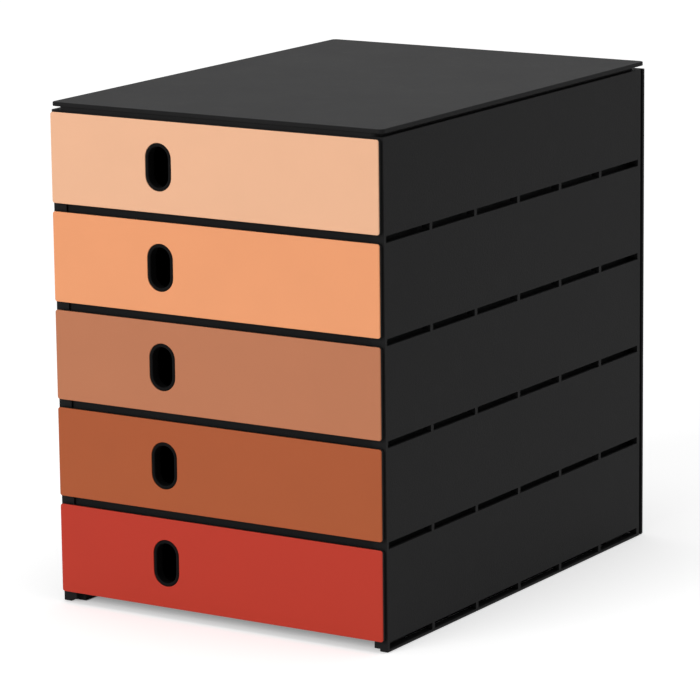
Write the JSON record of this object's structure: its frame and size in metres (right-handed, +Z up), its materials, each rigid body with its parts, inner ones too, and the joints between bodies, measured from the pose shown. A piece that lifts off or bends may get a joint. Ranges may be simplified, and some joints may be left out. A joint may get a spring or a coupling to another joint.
{
  "type": "desk drawer organizer",
  "caption": "Desk-top drawer box with a black slotted plastic casing and wide shallow drawers, each with a thin coloured front and an upright pill-shaped finger hole.",
  "frame": {"origin": "on the floor, under the middle of the box's overall length and width", "axes": "+Z up, -Y towards the front that the drawers open to, +X to the right of someone facing the front"},
  "size_m": [0.243, 0.335, 0.323],
  "materials": {
    "casing_black": "fine-grained satin black moulded plastic",
    "lid_black": "fine-grained satin black moulded plastic",
    "tray_black": "satin black moulded plastic",
    "grip_black": "smooth black moulded plastic",
    "foot_soft": "matt black rubber",
    "front_peach": "smooth satin moulded plastic, peach",
    "front_orange": "smooth satin moulded plastic, orange",
    "front_tan": "smooth satin moulded plastic, tan",
    "front_rust": "smooth satin moulded plastic, rust",
    "front_red": "smooth satin moulded plastic, red"
  },
  "bodies": {
    "casing": {"left_side_panel": "casing_black", "right_side_panel": "casing_black", "back_panel": "casing_black", "base_panel": "casing_black", "top_deck": "casing_black", "lid": "lid_black", "shelf_1": "casing_black", "shelf_2": "casing_black", "shelf_3": "casing_black", "shelf_4": "casing_black", "foot_front_left": "foot_soft", "foot_front_right": "foot_soft", "foot_rear_left": "foot_soft", "foot_rear_right": "foot_soft", "tilt_guide_1_left": "casing_black", "tilt_guide_2_left": "casing_black", "tilt_guide_3_left": "casing_black", "tilt_guide_4_left": "casing_black", "tilt_guide_5_left": "casing_black", "tilt_guide_1_right": "casing_black", "tilt_guide_2_right": "casing_black", "tilt_guide_3_right": "casing_black", "tilt_guide_4_right": "casing_black", "tilt_guide_5_right": "casing_black"},
    "drawer_1": {"drawer_tray_1": "tray_black", "drawer_front_1": "front_peach", "finger_grip_1": "grip_black"},
    "drawer_2": {"drawer_tray_2": "tray_black", "drawer_front_2": "front_orange", "finger_grip_2": "grip_black"},
    "drawer_3": {"drawer_tray_3": "tray_black", "drawer_front_3": "front_tan", "finger_grip_3": "grip_black"},
    "drawer_4": {"drawer_tray_4": "tray_black", "drawer_front_4": "front_rust", "finger_grip_4": "grip_black"},
    "drawer_5": {"drawer_tray_5": "tray_black", "drawer_front_5": "front_red", "finger_grip_5": "grip_black"}
  },
  "joints": [
    {"name": "drawer_1_slide", "type": "slide", "parent": "casing", "child": "drawer_1", "axis": [0, -1, 0], "range_m": [0, 0.24]},
    {"name": "drawer_2_slide", "type": "slide", "parent": "casing", "child": "drawer_2", "axis": [0, -1, 0], "range_m": [0, 0.24]},
    {"name": "drawer_3_slide", "type": "slide", "parent": "casing", "child": "drawer_3", "axis": [0, -1, 0], "range_m": [0, 0.24]},
    {"name": "drawer_4_slide", "type": "slide", "parent": "casing", "child": "drawer_4", "axis": [0, -1, 0], "range_m": [0, 0.24]},
    {"name": "drawer_5_slide", "type": "slide", "parent": "casing", "child": "drawer_5", "axis": [0, -1, 0], "range_m": [0, 0.24]}
  ]
}
